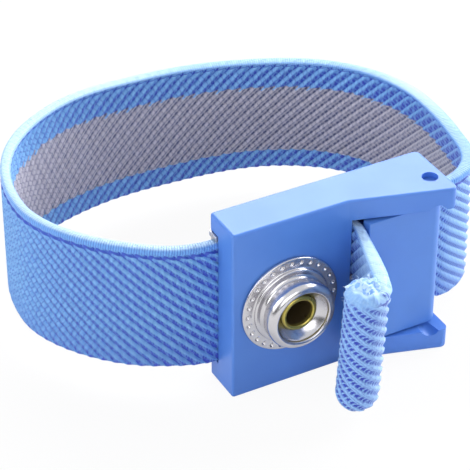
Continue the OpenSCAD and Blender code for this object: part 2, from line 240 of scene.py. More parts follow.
# half the band's width and thickness, the ribs' depth, and how much less deep they are on the hem
HALF_WIDE, HALF, RIB_DEPTH, HEM_LESS = 10, 0.65, 0.36, 0.1
# where the rounded edges start above and below the middle, their heights, and the points round one
TOP_EDGE, TOP_ROUND, FOOT_EDGE, FOOT_ROUND, EDGE_ROWS = 9.4, 0.6, 9.75, 0.25, 8
# height of the seam under the plain welt, on the outer and the inner face
WELT_OUT, WELT_IN = 8.75, 9.35
# how much thicker the welt is than the band, and how much more so past the left bend, past the rear and in
# the free end
WELT_RISE, LEFT_WELT, REAR_WELT, FREE_WELT = 0.1, 0.25, 0.15, 0.35
# the groove under the welt: its depth and half width, and how far the ribs' heads reach up into it
GROOVE_DEPTH, GROOVE_WIDE, GROOVE_REACH = 0.2, 0.17, 0.12
# how far the lower edge leans out at the loop's rear, and in at its left and beside the buckle
SWAY_REAR, SWAY_LEFT, SWAY_BUCKLE = 0.92, 0.4, 0.28
# the slack at the loop's right end: how far it bows out and hangs down, and rises again into the clamp
SLACK_BOW, SLACK_DROP, CLAMP_RISE = 0.75, 1.1, 0.6
# the hem: how far it sinks and moves sideways, and how far it leans for each millimetre up
HEM_SINK, HEM_SIDE, HEM_LEAN = 1.0, -0.1, 0.055
# spacing of the grid's lines along the band, nine to a rib
STEP = PITCH / 9


def band_section(rows):
    """Ring round the band's section, from the bottom up the outer face and down the inner one.
    Returns height, side (1 outer, -1 inner), and how far a rib has run on there."""
    up = np.concatenate([[-FOOT_EDGE], rows, [TOP_EDGE]])
    turn = np.radians(np.linspace(0, 180, EDGE_ROWS + 2))[1:-1]
    top = TOP_EDGE + TOP_ROUND * np.sin(turn) ** 0.75
    foot = -FOOT_EDGE - FOOT_ROUND * np.sin(turn) ** 0.6
    z = np.concatenate([up, top, up[::-1], foot])
    side = np.concatenate([np.ones(len(up)), np.cos(turn), -np.ones(len(up)), -np.cos(turn)])
    skew = (SKEW_OUT + SKEW_IN) / 2 + side * (SKEW_OUT - SKEW_IN) / 2
    return z, side, skew * z


def sheared_grid(s_a, s_b, step, shift):
    """Grid whose lines run on with the ribs, cut square at both ends, which are closed by a middle point.
    Returns distance along the band per point, its ring place, triangles, and which are middle points."""
    first_line = math.floor((s_a - shift.max()) / step)
    last_line = math.ceil((s_b - shift.min()) / step)
    u = np.arange(first_line, last_line + 1) * step
    m, n = len(u), len(shift)
    s = np.clip(u[:, None] + shift[None, :], s_a, s_b)
    low = (s <= s_a).sum(0) - 1
    high = m - (s >= s_b).sum(0)
    i, j = np.meshgrid(np.arange(m), np.arange(n), indexing="ij")
    index = np.clip(i, low[None, :], high[None, :]) * n + j
    j2 = (np.arange(n) + 1) % n
    a, b, c, d = index[:-1], index[1:], index[1:][:, j2], index[:-1][:, j2]
    halves = [np.stack([a, b, c], 2).reshape(-1, 3), np.stack([a, c, d], 2).reshape(-1, 3)]
    tri = np.concatenate(halves)
    tri = tri[(tri[:, 0] != tri[:, 1]) & (tri[:, 1] != tri[:, 2]) & (tri[:, 0] != tri[:, 2])]
    ring = np.arange(n)
    first, last = low * n + ring, high * n + ring
    near_cap = np.stack([first, first[j2], np.full(n, m * n)], 1)
    far_cap = np.stack([last[j2], last, np.full(n, m * n + 1)], 1)
    tri = np.concatenate([tri, near_cap, far_cap])
    s_all = np.concatenate([s.ravel(), [s_a, s_b]])
    ring_all = np.concatenate([np.tile(ring, m), [0, 0]])
    used, tri = np.unique(tri, return_inverse=True)
    return s_all[used], ring_all[used], tri.reshape(-1, 3), used >= m * n


def rib(t):
    """Height across a rib, from 0 to 1: a steep upper flank, a crest and a long slope to the groove."""
    q = np.mod(t + RIB_START, 1)
    return smooth_step(0, 0.2, q) * (1 - smooth_step(0.4, 1.0, q))


def hidden(s):
    """1 inside the buckle and 0 where the band is free."""
    inside = 1 - smooth_step(-1.5, 0.4, s) * (1 - smooth_step(at_clamp - 0.4, at_clamp + 1.5, s))
    return np.where(s < at_slot - 2, inside, 0)


def surface(s, z, t, side):
    """Distance of the woven face from the band's middle: ribs, a plain welt along the upper edge, and a
    scalloped groove between the welt and the heads of the ribs. The welt bulges more from the loop's left
    bend on, still more past its rear, and no more than at first in the clamp. It is thicker again in the
    free end, and narrower on the inner side."""
    crest = rib(t)
    depth = (RIB_DEPTH - HEM_LESS * smooth_step(at_hem - 1, at_hem + 1, s)) * (1 - 0.8 * hidden(s))
    seam = np.where(side > 0, WELT_OUT, WELT_IN)
    top = smooth_step(seam - 0.05, seam + 0.3, z)
    bottom = smooth_step(-9.35, -9.65, z)
    face = HALF + depth * (crest - 0.6)
    free = smooth_step(at_slot - 1, at_hem - 2, s)
    rolled = smooth_step(at_hem - 0.5, at_hem + 2, s)
    bulge = (LEFT_WELT * smooth_step(35, 50, s) + REAR_WELT * smooth_step(104, 118, s)
             - (LEFT_WELT + REAR_WELT) * smooth_step(134, 142, s))
    welt = HALF + WELT_RISE + bulge + FREE_WELT * free * (1 - 0.8 * rolled)
    dip = hump(z, seam + GROOVE_REACH * crest, GROOVE_WIDE)
    groove = GROOVE_DEPTH * (1 - 0.6 * free) * (1 - rolled) * dip
    foot = HALF - 0.05 + 0.1 * crest
    return (face * (1 - top) + welt * top) * (1 - bottom) + foot * bottom - groove


def sway(s):
    """How far the band's lower edge stands out past its middle line as it leans, along the loop."""
    rear = smooth_step(74, 94, s) - smooth_step(102, 140, s)
    return SWAY_REAR * rear - SWAY_LEFT * hump(s, 61, 8) - SWAY_BUCKLE * hump(s, 6, 4)


def entering(s):
    """Rises from 0 to 1 where the band enters the clamp."""
    return smooth_step(140.5, 144.6, s)


def bow(s):
    """How far the band stands out past its line before it enters the clamp, where the slack gathers."""
    return SLACK_BOW * (smooth_step(128, 136, s) - entering(s))


def drop(s):
    """How far the band hangs low at the loop's right end and in the clamp."""
    return SLACK_DROP * smooth_step(116, 134, s) - CLAMP_RISE * entering(s)


def shape_hem(points, s):
    """The free end sinks a little on its way to the hem. The hem leans to the right towards its top, is
    drawn in to a small shoulder there and to a round foot, and is lumpy near its top."""
    part = smooth_step(at_hem - 6, at_hem + 1.5, s)
    rolled = smooth_step(at_hem - 2, at_hem + 2.5, s)
    z = points[:, 2] * (1 - 0.01 * part) - HEM_SINK * part
    high = np.clip((z - 7.2) / 1.2, 0, 1)
    low = np.clip((-8.4 - z) / 3.0, 0, 1)
    draw = (1 - 0.3 * high ** 2.2) * np.sqrt(1 - (0.97 * low) ** 2.2)
    heap = 1 + 0.1 * lumps(points, 0.55) * smooth_step(5.0, 7.8, z)
    factor = 1 + rolled * (draw * heap - 1)
    out = points.copy()
    out[:, :2] = HEM + (points[:, :2] - HEM) * factor[:, None]
    out[:, 2] = z + 0.25 * rolled * (lumps(points + 3, 0.6) - 0.5) * smooth_step(6.5, 8.2, z)
    out[:, 0] += part * (HEM_SIDE + HEM_LEAN * (z + 1))
    return out


def placed(s, off, z):
    """Points of the band in space, with its sway, bow, drop and hem."""
    return shape_hem(on_line(s, off + bow(s) - sway(s) * z / HALF_WIDE, z - drop(s)), s)


def woven(name, s_a, s_b, rows):
    """A stretch of the band from s_a to s_b as one closed surface."""
    ring_z, ring_side, shift = band_section(rows)
    s, place, tri, middle = sheared_grid(s_a, s_b, STEP, shift)
    t = (s - shift[place]) / PITCH
    z, side = ring_z[place], ring_side[place]
    off = surface(s, z, t, side) * side
    z = z + 0.2 * (rib(t) - 0.5) * smooth_step(-9.0, -9.7, z) * (1 - hidden(s))
    off[middle], z[middle] = 0, 0
    maps = {"cloth": np.stack([s, z], 1), "ribs": np.stack([t, side], 1)}
    return put_mesh(name, placed(s, off, z), tri, maps)


# heights of the grid's rows: close together near the edges, and finer all over on the free end
UPPER_ROWS = [8.3, 8.5, 8.65, 8.8, 8.95, 9.1, 9.25]
BAND_ROWS = np.concatenate([[-9.6, -9.4, -9.15], np.arange(-8.8, 8.1, 0.64), UPPER_ROWS])
TAIL_ROWS = np.concatenate([np.arange(-9.6, 8.2, 0.22), UPPER_ROWS])
# where the two pieces meet, inside the clamp
JOIN = at_clamp + 9.0
band = woven("woven_band", -FIXED_L, JOIN, BAND_ROWS)
tail = woven("woven_free_end", JOIN, at_end, TAIL_ROWS)
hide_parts("band_fixed_end", "band_loop")
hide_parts("band_clamped_run", "band_free_end", "band_hem")

# the conductive stripe's middle, half its width, and how far it ends short of the band
STRIPE_Z, STRIPE_HALF, STRIPE_SHORT = -0.6, 6.0, 0.4
# how far it is lifted off the band's face, its thickness, and how much lower its upper edge is past the
# clamp
STRIPE_LIFT, STRIPE_THICK, STRIPE_LOWER = 0.035, 0.3, 3.6


def stripe_piece():
    """Grey yarns in the inner face: the same ribs lifted by a hair, with edges that step from rib to rib.
    Past the clamp the upper edge runs lower."""
    count = 25
    rows = np.sin(np.linspace(-np.pi / 2, np.pi / 2, count)) * 0.5 + np.linspace(-0.5, 0.5, count)
    across_rows = np.concatenate([rows, rows[::-1]])
    face = np.concatenate([np.ones(count), np.zeros(count)])
    shift = SKEW_IN * (STRIPE_Z + STRIPE_HALF * across_rows)
    s, place, tri, middle = sheared_grid(-FIXED_L + STRIPE_SHORT, at_end - STRIPE_SHORT, STEP, shift)
    row = across_rows[place]
    t = (s - shift[place]) / PITCH
    count_up = t + RIB_START
    uneven = 0.05 * np.sin(2.2 * np.floor(count_up) ** 2)
    jag = (0.3 - 0.2 * row) * (np.mod(count_up, 1) - 0.5) + uneven
    z = STRIPE_Z + STRIPE_HALF * row + jag * np.abs(row) ** 10 * np.sign(row) * (1 - hidden(s))
    z = z - STRIPE_LOWER * smooth_step(-0.5, 1, row) * smooth_step(at_clamp + 3, at_slot, s)
    off = surface(s, z, t, np.full(len(s), -1)) + STRIPE_LIFT - STRIPE_THICK * (1 - face[place])
    off[middle], z[middle] = HALF - 0.1, STRIPE_Z
    maps = {"cloth": np.stack([s, z], 1), "ribs": np.stack([t, -np.ones(len(t))], 1)}
    obj = put_mesh("conductive_yarns", placed(s, -off, z), tri[:, ::-1], maps)
    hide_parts("conductive_stripe")
    return obj


def hem_core():
    """Fused filling of the fold: a rod along z that spreads over the band's edge as a squashed half ball,
    with swirled ridges and lumps on it and a pit in the middle."""
    columns, wide, high, shoulder = 96, 2.9, 1.4, 9.2
    rod_r, foot, rod_rows = 1.62, -9.9, 20
    side_z = np.linspace(foot, 8.9, rod_rows)
    tilt = np.radians(np.linspace(95, 1, 38))
    outline_r = np.concatenate([[0.02], np.full(rod_rows, rod_r), wide * np.sin(tilt)])
    outline_z = np.concatenate([[foot], side_z, shoulder + high * np.cos(tilt)])
    angle = np.arange(columns) * 2 * np.pi / columns
    a, r = np.meshgrid(angle, outline_r)
    z = np.repeat(outline_z[:, None], columns, 1)
    top = smooth_step(9.0, 9.1, z)
    edge = 1 + top * (0.04 * np.sin(3 * a + 1) + 0.025 * np.sin(5 * a + 3 * r))
    swirl = 0.07 * np.sin(5 * a + 2.6 * r) * np.minimum(r, 1)
    pit = 0.75 * hump(r, 0, 0.42)
    z = z + top * (swirl - pit)
    x, y = r * edge * np.cos(a), r * edge * np.sin(a)
    flat = np.stack([x + HEM[0], y + HEM[1], z - drop(at_end)], 2).reshape(-1, 3)
    points = shape_hem(flat, np.full(len(flat), at_end))
    quads = ring_quads(len(outline_r), columns)
    ends = [len(points), len(points) + 1]
    points = np.vstack([points, points[:columns].mean(0), points[-columns:].mean(0)])
    ring = np.arange(columns)
    last = (len(outline_r) - 1) * columns
    tri = np.concatenate([
        quads[:, [0, 1, 2]], quads[:, [0, 2, 3]],
        np.stack([(ring + 1) % columns, ring, np.full(columns, ends[0])], 1),
        np.stack([last + ring, last + (ring + 1) % columns, np.full(columns, ends[1])], 1),
    ])
    return put_mesh("hem_core", points, tri)


def loose_ends():
    """Yarn ends along the cut edge and on the hem's top: thin tapering tubes of five square rings, each
    bent along a parabola."""
    rng = np.random.default_rng(11)
    edge, crown, rings, radius = 130, 40, 5, 0.055
    count = edge + crown
    z = np.concatenate([9.6 - 15 * rng.uniform(0, 1, edge) ** 1.8, np.full(crown, 10.1)])
    off = np.concatenate([rng.uniform(-0.6, 0.75, edge), np.zeros(crown)])
    root = on_line(np.full(count, at_end - 0.06), off, z - drop(at_end))
    root = shape_hem(root, np.full(count, at_end))
    angle = rng.uniform(0, 2 * np.pi, crown)
    reach = rng.uniform(0.5, 2.6, crown)
    root[edge:, 2] += 0.35 * (1 - (reach / 2.75) ** 2)
    root[edge:, 0] = HEM[0] + 0.45 + reach * np.cos(angle)
    root[edge:, 1] = HEM[1] + reach * np.sin(angle)
    onto_edge = np.array([*heading[-1], 0]) + rng.normal(0, 0.5, (edge, 3)) + [-0.1, -0.1, 0.2]
    outwards = np.stack([np.cos(angle), np.sin(angle), np.full(crown, 0.8)], 1)
    aim = np.vstack([onto_edge, outwards + rng.normal(0, 0.5, (crown, 3))])
    aim /= np.linalg.norm(aim, axis=1)[:, None]
    length = rng.uniform(0.2, 0.6, count)
    curl = rng.normal(0, 0.5, (count, 3)) - [0, 0, 0.2]
    u = np.linspace(0, 1, rings)
    path = u[None, :, None] * aim[:, None] + (u ** 2)[None, :, None] * curl[:, None]
    spine = root[:, None] + length[:, None, None] * path
    side = np.cross(aim, [0.3, 0.5, 0.81])
    side /= np.linalg.norm(side, axis=1)[:, None]
    other = np.cross(aim, side)
    width = radius * (1 - 0.75 * u)[None, :, None]
    ways = (side, other, -side, -other)
    corners = [spine + width * way[:, None] for way in ways]
    points = np.stack(corners, 2).reshape(-1, 3)
    last = 4 * (rings - 1)
    quads = np.concatenate([ring_quads(rings, 4), [[3, 2, 1, 0]], [[last, last + 1, last + 2, last + 3]]])
    faces = (np.arange(count)[:, None, None] * 4 * rings + quads[None]).reshape(-1, 4)
    return put_mesh("loose_yarn_ends", points, faces)


stripe = stripe_piece()
core = hem_core()
ends = loose_ends()


# ---------------------------------------------------------------- metal pieces


def stud_piece():
    """Ring snap: a sheet-metal section turned about its axis, with a ring of small pressed pits in the
    flange. The section's pairs are radius and height over the housing's face."""
    # radius of the rivet's hole, and heights of the dish's underside and the flange's face
    hole, under, face = 2.2, 1.1, 0.6
    turn = np.radians(np.linspace(0, 90, 21))
    bowl = np.stack([2.45 + 1.43 * np.cos(turn) ** 1.5, 3.9 - 1.35 * np.sin(turn) ** 1.5], 1)
    profile = np.vstack([
        np.linspace([5.3, 0], [7.33, 0], 4)[:-1],
        oval((7.18, 0.3), (0.15, 0.3), -90, 90, 10),
        np.linspace([7.05, face], [6.1, face], 22),
        oval((5.95, 0.75), (0.25, 0.15), 270, 180, 6),
        oval((5.45, 0.85), (0.25, 0.25), 0, 90, 8),
        oval((5.15, 1.7), (0.55, 0.6), 270, 180, 12)[1:],
        oval((4.6, 2.3), (0.5, 0.4), 270, 360, 10)[1:],
        oval((4.15, 3.3), (0.95, 1.0), 0, 90, 22),
        oval((4.15, 3.95), (0.27, 0.35), 90, 180, 8)[1:],
        bowl,
        [[hole, under]], [[4.2, under]], [[5.3, 0.7]]])
    # number of the pits, the radius of their ring, and their own radius and depth
    pit_count, pit_ring, pit_r, pit_depth = 28, 6.59, 0.26, 0.2

    def pits(r, h, a):
        """Lowers the flange's face by a small round pit, with a slight rim, all the way round."""
        pitch = 2 * np.pi / pit_count
        across_pit = (np.mod(a + pitch / 2, pitch) - pitch / 2) * pit_ring
        reach = np.hypot(across_pit, r - pit_ring)
        pit = pit_depth * np.exp(-(reach / pit_r) ** 4)
        rim = 0.03 * hump(reach, 0.36, 0.1)
        on_face = (np.abs(h - face) < 0.02) & (r > 6.0) & (r < 7.2)
        return h + np.where(on_face, rim - pit, 0)

    points, quads = revolve(profile, 24 * pit_count, pits)
    obj = put_mesh("ring_snap", points, quads)
    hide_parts("snap_stud")
    return obj


def eyelet_piece():
    """Tube rivet that flares to a rolled lip in the stud's bowl, with a flange behind the back plate. The
    pairs are radius and height over the housing's face."""
    # height of its rear end, and the tube's outer and inner radius
    back, tube, bore = -6.45, 2.1, 1.75
    profile = np.vstack([
        oval((tube, back + 0.35), (tube - bore, 0.35), 180, 270, 8),
        oval((3.6, back + 0.2), (0.15, 0.2), -90, 90, 6),
        [[tube + 0.1, back + 0.4]], [[tube, back + 0.5]], [[tube, 1.2]],
        oval((tube, 2.75), (0.35, 0.9), -90, 0, 8)[1:-1],
        oval((2.33, 2.85), (0.33, 0.28), -30, 180, 16),
        [[1.95, 2.2]], [[1.8, 1.4]], [[bore, 1.0]]])
    points, quads = revolve(profile, 192)
    obj = put_mesh("eyelet_rivet", points, quads)
    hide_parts("eyelet")
    return obj


stud = stud_piece()
rivet = eyelet_piece()
housing = softened("housing", "buckle_housing")
lever = softened("cam_lever", "clamp_lever", 0.22, 3)
plate = softened("back_plate", "steel_back_plate", 0.05)


# ---------------------------------------------------------------- materials


class Wire:
    """A value in a node tree that can be added to, multiplied and so on, each as one Math node."""

    def __init__(self, tree, socket):
        self.tree, self.socket = tree, socket

    def math(self, kind, *others):
        node = self.tree.nodes.new("ShaderNodeMath")
        node.operation = kind
        for slot, value in enumerate((self, *others)):
            if isinstance(value, Wire):
                self.tree.links.new(value.socket, node.inputs[slot])
            else:
                node.inputs[slot].default_value = value
        return Wire(self.tree, node.outputs[0])

    def __add__(self, other):
        return self.math("ADD", other)

    def __sub__(self, other):
        return self.math("SUBTRACT", other)

    def __mul__(self, other):
        return self.math("MULTIPLY", other)

    def most(self, other):
        return self.math("MAXIMUM", other)

    def fraction(self):
        return self.math("FRACT")

    def size(self):
        return self.math("ABSOLUTE")

    def rest(self):
        """One less the value."""
        return self * -1 + 1

    def below(self, low, high):
        """1 below low and 0 above high."""
        return self.step(low, high).rest()

    def near(self, place, inside, outside):
        """1 within the inside distance of a place, and 0 past the outside one."""
        return (self - place).size().below(inside, outside)

    def wave(self):
        """Cosine of so many whole turns, from 0 to 1."""
        return (self * (2 * math.pi)).math("COSINE") * 0.5 + 0.5

    def step(self, low, high):
        """0 below low and 1 above high, with a smooth rise."""
        node = self.tree.nodes.new("ShaderNodeMapRange")
        node.interpolation_type = "SMOOTHSTEP"
        self.tree.links.new(self.socket, node.inputs["Value"])
        node.inputs["From Min"].default_value = low
        node.inputs["From Max"].default_value = high
        return Wire(self.tree, node.outputs["Result"])


def mixed(tree, factor, a, b):
    """Colour between a and b; each is a Wire or a constant colour."""
    node = tree.nodes.new("ShaderNodeMix")
    node.data_type = "RGBA"
    for slot, value in (("Factor", factor), ("A", a), ("B", b)):
        socket = next(x for x in node.inputs if x.name == slot and x.enabled)
        if isinstance(value, Wire):
            tree.links.new(value.socket, socket)
        else:
            socket.default_value = value
    return Wire(tree, next(x for x in node.outputs if x.enabled))


def noise(tree, vector, scale, detail=2.0):
    node = tree.nodes.new("ShaderNodeTexNoise")
    node.inputs["Scale"].default_value = scale
    node.inputs["Detail"].default_value = detail
    tree.links.new(vector.socket, node.inputs["Vector"])
    return Wire(tree, node.outputs[0])


def group(name, inputs, outputs):
    """A node group with named inputs and outputs. Returns it, its inputs' wires, and its output node."""
    tree = bpy.data.node_groups.new(name, "ShaderNodeTree")
    for title, kind in inputs:
        tree.interface.new_socket(title, in_out="INPUT", socket_type=kind)
    for title, kind in outputs:
        tree.interface.new_socket(title, in_out="OUTPUT", socket_type=kind)
    source = tree.nodes.new("NodeGroupInput")
    sink = tree.nodes.new("NodeGroupOutput")
    return tree, {t: Wire(tree, source.outputs[t]) for t, _ in inputs}, sink


def close(tree, sink, **values):
    for title, wire in values.items():
        tree.links.new(wire.socket, sink.inputs[title])


def split(tree, vector):
    """The x, y and z of a vector."""
    node = tree.nodes.new("ShaderNodeSeparateXYZ")
    tree.links.new(vector.socket, node.inputs[0])
    return [Wire(tree, x) for x in node.outputs]


VALUE, VECTOR = "NodeSocketFloat", "NodeSocketVector"
MASKS = ("Comb", "Line", "Tuft", "Height", "Welt", "Top", "Free", "Streak")


def weave_group():
    """Masks of the ribbed weave. Cloth is distance along the band and height, Ribs the rib count and side.

    Comb: painted shade on the lower slope of each rib, crossed by light rungs of yarn. It is a thin line at
    the loop's right end and a row of dark gaps on the hem, and painted shade darkens the outer face towards
    its foot.
    Line: thin dark lines of painted shade between the ribs, and thin dark lines along their middles, broken
    by the same rungs.
    Tuft: painted highlight on the bumps along a rib and along its crest. Height: the yarns' relief.
    Welt and Top: the plain edge, and painted light on the band's upper edge and on the welt at the loop's
    left and on the free end.
    Free: 1 on the free end and the hem, and nearly so at the loop's right end, where it is painted light.
    Streak: light single yarns, painted light on the free end's inner face, and a pale strip where the hem
    begins.
    """
    outputs = [(title, VALUE) for title in MASKS]
    tree, given, sink = group("ribbed weave", [("Cloth", VECTOR), ("Ribs", VECTOR)], outputs)
    s, z, _ = split(tree, given["Cloth"])
    t, side, _ = split(tree, given["Ribs"])

    # places on the band
    outer = side.step(-0.5, 0.5)
    inner = outer.rest()
    netted = s.step(1, 20) * outer
    left = s.step(28, 42) * s.below(96, 112)
    rear = s.step(66, 84) * s.below(104, 120)
    right = s.step(116, 132) * s.below(at_clamp + 2, at_clamp + 6)
    right_face = right * outer
    free = s.step(at_slot - 3, at_hem - 3)
    folded = s.step(at_hem - 0.5, at_hem + 1.5)
    rolled = s.step(at_hem + 2.0, at_hem + 4.0)
    before_roll = free * rolled.rest()
    over_seam = z - (outer * (WELT_OUT - WELT_IN) + WELT_IN)
    plain = over_seam.step(0.05, 0.2) * folded.rest()
    head = over_seam.step(-1.15, -0.5)

    # unevenness, the place across a rib from 0 to 1, and waves along the yarns
    rough = noise(tree, given["Cloth"], 1.3)
    fine = noise(tree, given["Cloth"], 5.0)
    q = (t + RIB_START + rough * 0.14 - 0.07).fraction()
    gap = (q + 0.62).fraction()
    yarns = (s * 2.6 + z * 0.3 + q * 0.3 + rough * 1.2).wave()
    tuft = (s * 1.12 + z * (netted * 0.45 - 0.35) + rough * 0.8).wave()
    rung = (s * 1.09 + z * 0.6 + rough * 0.6).wave()
    light_rung = rung.step(0.5, 0.9)
    knots = (s * 1.09 + z * 1.2 + rough * 0.8).wave() * 0.8 + fine * 0.45
    bridge = (tuft * 0.85 + fine * 0.35).step(0.74, 0.92)
    # painted highlight along each rib's crest
    crest = q.near(0.17, 0.05, 0.16)

    # painted shade on the ribs' lower slopes, crossed by the rungs
    slope = q.step(0.3, 0.42) * (q.step(0.94, 1.0) * (head * 0.85 - 0.85) + 1)
    teeth = yarns.step(0.45, 0.9) * (q + tuft * 0.15).below(0.5, 0.8)
    teeth = teeth.most(light_rung * inner.most(netted))
    comb = slope * (teeth * -0.5 + 1) * (bridge * (netted * 0.3 - 0.45) + 1) * (fine * 0.3 + 0.85)
    dark_rung = rung.below(0.0, 0.3) * fine.step(0.3, 0.5)
    comb = comb.most(dark_rung * inner.most(netted * 1.4) * 0.4)
    comb = comb * (head * (q.step(0.78, 0.88) * 0.7 - 0.7) + 1)
    comb = comb * (before_roll * (inner * -0.3 - 0.55) + 1)

    # the loop's right end, painted shade towards the band's foot, and the free end
    slim = q.step(0.52, 0.64) * q.below(0.94, 1.0) * (yarns.step(0.4, 0.9) * -0.85 + 1) * 0.8
    slim = slim.most(yarns.below(0.0, 0.4) * fine.step(0.35, 0.55) * 0.35)
    comb = comb * right_face.rest() + slim * right_face
    fringe = gap.near(0.5, 0.14, 0.34) * yarns.below(0.3, 0.7) * free * outer
    # painted shade: the outer face darkens towards the band's foot
    foot = z.below(-10, -1) * outer * 0.3
    comb = comb.most(foot).most(fringe * 0.8).most(netted * right.rest() * 0.12)

    # the hem
    blobs = gap.near(0.5, 0.15, 0.36) * knots.below(0.66, 0.96)
    strokes = (t * 3 + s * 0.5 + rough * 1.5).wave().step(0.45, 1.0) * fine.step(0.35, 0.55) * 0.55
    comb = comb * rolled.rest() + blobs.most(strokes) * rolled * z.below(7.6, 8.8)

    # lines of the grey yarns: painted shade between the ribs, and dark lines along their middles
    middle = (q + 0.1).fraction().near(0.5, 0.05, 0.17)
    line = (gap.near(0.5, 0.08, 0.22) * (bridge * -0.3 + 1)).most(middle * (tuft.rest() * 0.3 + 0.5))
    line = (line * (light_rung * -0.5 + 1)).most(rung.below(0.0, 0.35) * fine.step(0.3, 0.5) * 0.45)

    # the scalloped seam, dark with painted shade in its groove, and the plain welt
    scallop = (over_seam + (q - 0.4).size() * 1.2 - 0.1).size() * -1 + 0.4
    scallop = (scallop - inner * 0.14).step(0.1, 0.28) * rolled.rest()
    ticks = (s * 2.9 + z * 0.25 + rough * 0.5).wave().step(0.4, 1.0) * (free * -0.8 + 1)
    # painted light on the band's upper edge, and on the welt at the loop's left and on the free end
    top = side.size().below(0.5, 0.95) * z.step(8.9, 9.3)
    top = top.most(plain * left.most(free) * 0.6) * (right.most(rear) * -0.5 + 1)
    trim = (plain * ticks * (top * -0.3 + 1) * (left * -0.6 + 1) * 0.5).most(scallop * 0.9)

    # besides the light single yarns: painted light on the free end's inner face, and a pale strip where the
    # hem begins
    streak = (yarns * fine.step(0.35, 0.6) * (rolled * 0.5 + 0.5)).most(before_roll * inner * 1.6)
    streak = streak.most(s.step(at_hem - 0.5, at_hem + 0.5) * rolled.rest() * outer * 1.8)
    height = tuft * slope.rest() * 0.5 - comb * 0.8 + fine * 0.35 - plain * ticks * 0.4
    comb = comb * (top * -0.7 + 1)
    # at the loop's right end the pull towards the pale colour is painted light
    close(tree, sink, Comb=(comb * plain.rest()).most(trim), Line=(line * plain.rest()).most(trim),
          Tuft=tuft * 0.5 + crest * 0.5, Height=height, Welt=plain, Top=top,
          Free=free.most(right * 0.9), Streak=streak)
    return tree


WEAVE = weave_group()


def new_material(name):
    mat = bpy.data.materials.new(name)
    mat.use_nodes = True
    tree = mat.node_tree
    tree.nodes.clear()
    out = tree.nodes.new("ShaderNodeOutputMaterial")
    shader = tree.nodes.new("ShaderNodeBsdfPrincipled")
    tree.links.new(shader.outputs[0], out.inputs["Surface"])
    return mat, tree, shader


def uv(tree, title):
    node = tree.nodes.new("ShaderNodeUVMap")
    node.uv_map = title
    return Wire(tree, node.outputs[0])


def object_place(tree):
    return Wire(tree, tree.nodes.new("ShaderNodeTexCoord").outputs["Object"])


def bumped(tree, shader, height, strength, distance):
    node = tree.nodes.new("ShaderNodeBump")
    node.inputs["Strength"].default_value = strength
    node.inputs["Distance"].default_value = distance
    tree.links.new(height.socket, node.inputs["Height"])
    tree.links.new(node.outputs[0], shader.inputs["Normal"])


# how far the free end, and as painted light the loop's right end, is drawn towards the pale colour, and how
# much the single yarns and the painted light on the free end's inner face show
PALE_SHARE, STREAK_SHARE = 0.75, 0.3


def yarn(name, shade, colours, sheen):
    """Woven yarn: painted highlight on the ribs, painted shade where the weave group's shade mask is, paler
    on the plain welt, painted light on its upper side, and drawn towards the pale colour on the free end
    and, as painted light, at the loop's right end. The colours are crest, lit, groove, welt, top and pale."""
    mat, tree, shader = new_material(name)
    node = tree.nodes.new("ShaderNodeGroup")
    node.node_tree = WEAVE
    for title, source in (("Cloth", "cloth"), ("Ribs", "ribs")):
        tree.links.new(uv(tree, source).socket, node.inputs[title])
    masks = {x.name: Wire(tree, x) for x in node.outputs}
    colour = mixed(tree, masks["Tuft"], colours["crest"], colours["lit"])
    colour = mixed(tree, masks["Free"] * PALE_SHARE, colour, colours["pale"])
    colour = mixed(tree, masks["Streak"] * STREAK_SHARE, colour, colours["top"])
    colour = mixed(tree, masks["Welt"], colour, colours["welt"])
    colour = mixed(tree, masks["Top"], colour, colours["top"])
    colour = mixed(tree, masks[shade], colour, colours["groove"])
    tree.links.new(colour.socket, shader.inputs["Base Color"])
    shader.inputs["Roughness"].default_value = 0.6
    shader.inputs["Sheen Weight"].default_value = sheen
    shader.inputs["Sheen Roughness"].default_value = 0.35
    bumped(tree, shader, masks["Height"], 0.7, 0.00016)
    return mat


def plastic(name, base, deep):
    """Moulded plastic with a fine satin finish and a faint cloudiness."""
    mat, tree, shader = new_material(name)
    place = object_place(tree)
    cloud = noise(tree, place, 160)
    colour = mixed(tree, cloud.step(0.3, 0.7), base, deep)
    tree.links.new(colour.socket, shader.inputs["Base Color"])
    grain = noise(tree, place, 9000)
    tree.links.new((cloud * 0.08 + 0.36).socket, shader.inputs["Roughness"])
    bumped(tree, shader, grain, 0.08, 0.00002)
    return mat


def metal(name, colour, low, high, grain):
    """Plain metal whose gloss varies a little; grain is the stretch of the brush marks along x, y and z."""
    mat, tree, shader = new_material(name)
    place = object_place(tree)
    mapping = tree.nodes.new("ShaderNodeMapping")
    mapping.inputs["Scale"].default_value = grain
    tree.links.new(place.socket, mapping.inputs["Vector"])
    marks = noise(tree, Wire(tree, mapping.outputs[0]), 1.0, 4)
    shader.inputs["Base Color"].default_value = colour
    shader.inputs["Metallic"].default_value = 1
    tree.links.new((marks * (high - low) + low).socket, shader.inputs["Roughness"])
    bumped(tree, shader, marks, 0.05, 0.00002)
    return mat


def brass_finish(name, colour, painted_bore_shade):
    """Rolled brass: bright on the lip, and dark and matt inside the bore as painted shade."""
    mat = metal(name, colour, 0.2, 0.4, (900, 300, 900))
    tree = mat.node_tree
    shader = next(x for x in tree.nodes if x.type == "BSDF_PRINCIPLED")
    x, _, z = split(tree, object_place(tree))
    radius = (x * x + z * z).math("SQRT") * (1 / MM)
    # painted shade: inside the bore the brass turns dark and is not metallic
    inside = radius.below(1.96, 2.02)
    tree.links.new(mixed(tree, inside, colour, painted_bore_shade).socket, shader.inputs["Base Color"])
    tree.links.new(inside.rest().socket, shader.inputs["Metallic"])
    return mat


def loose_yarn(name, pale, deep, scale):
    """Single yarn ends or fused yarn: pale, with a little of the band's colour in places."""
    mat, tree, shader = new_material(name)
    tone = noise(tree, object_place(tree), scale).step(0.42, 0.62)
    tree.links.new(mixed(tree, tone, pale, deep).socket, shader.inputs["Base Color"])
    shader.inputs["Roughness"].default_value = 0.6
    bumped(tree, shader, noise(tree, object_place(tree), 3 * scale), 0.5, 0.0001)
    return mat
